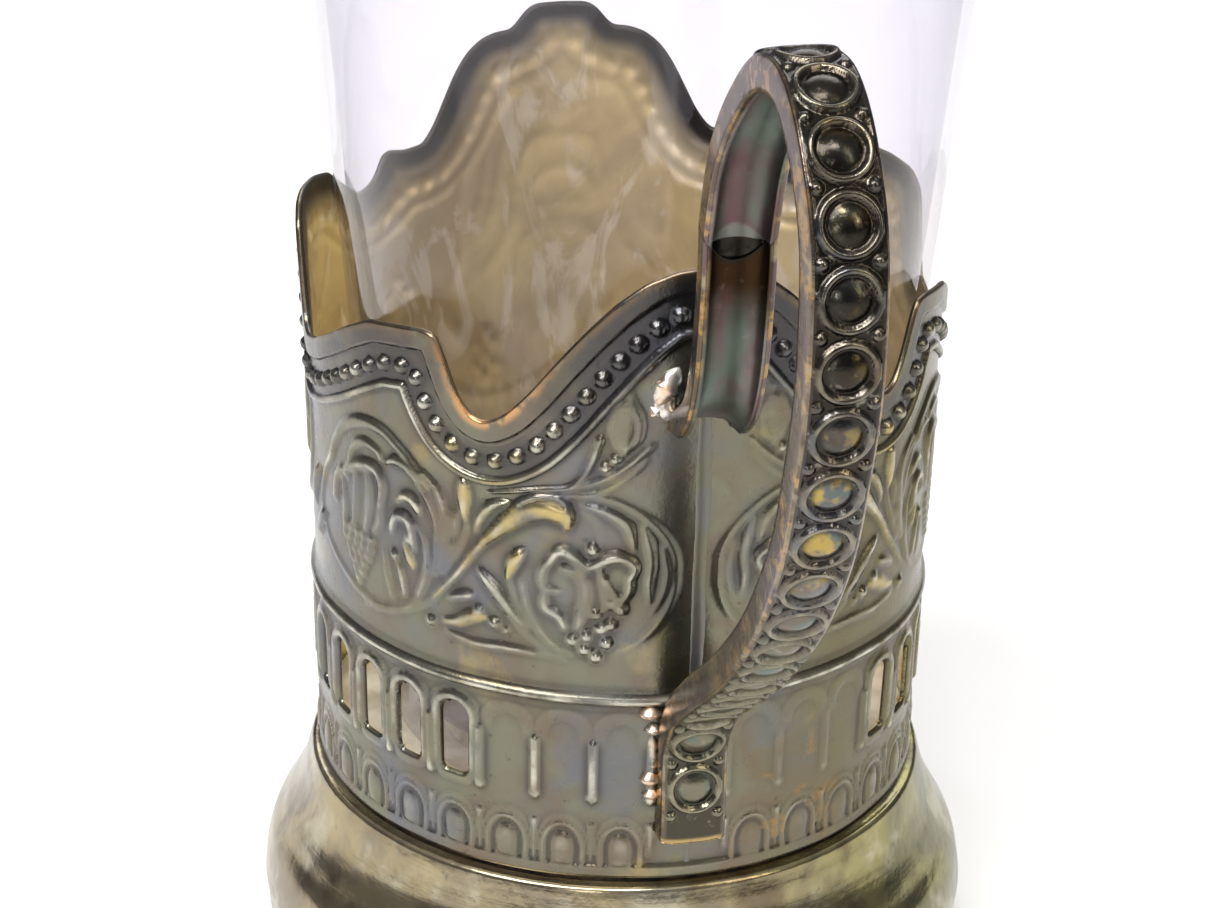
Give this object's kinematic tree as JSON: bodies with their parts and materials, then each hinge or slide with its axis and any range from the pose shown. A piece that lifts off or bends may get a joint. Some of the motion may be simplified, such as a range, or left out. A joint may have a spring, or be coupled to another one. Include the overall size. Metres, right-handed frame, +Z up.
{
  "type": "tea glass holder",
  "caption": "Stamped metal tea glass holder with a scalloped sleeve, pierced gallery, footed base and looped strap handle, with its lift-out glass.",
  "frame": {"origin": "on the sleeve's axis, in the plane that the base stands on", "axes": "+Z up along the sleeve's axis, +X out through the middle of the handle, +Y to the left of the handle seen from outside"},
  "size_m": [0.1275, 0.0844, 0.1334],
  "materials": {
    "base": "yellowish silvered brass, mottled and half polished",
    "base_solder": "dark tarnished solder in the joint",
    "sleeve": "silvered brass with an uneven grey-olive tarnish",
    "sleeve_seam": "dull grey soldered seam",
    "floor_disc": "silvered brass, dull",
    "handle_strap": "silvered brass, dark and iridescent tarnish",
    "handle_bracket": "silvered brass, dark tarnish",
    "lap_solder": "grey solder",
    "bracket_solder": "bright lumpy solder",
    "foot_solder": "bright lumpy solder",
    "glass": "clear colourless pressed glass"
  },
  "bodies": {
    "holder": {"base": "base", "base_solder": "base_solder", "sleeve": "sleeve", "sleeve_seam": "sleeve_seam", "floor_disc": "floor_disc", "handle_strap": "handle_strap", "handle_bracket": "handle_bracket", "lap_solder": "lap_solder", "bracket_solder": "bracket_solder", "foot_solder": "foot_solder"},
    "glass": {"glass": "glass"}
  },
  "joints": [
    {"name": "glass_lift", "type": "slide", "parent": "holder", "child": "glass", "axis": [0, 0, 1], "range_m": [0, 0.12]}
  ]
}
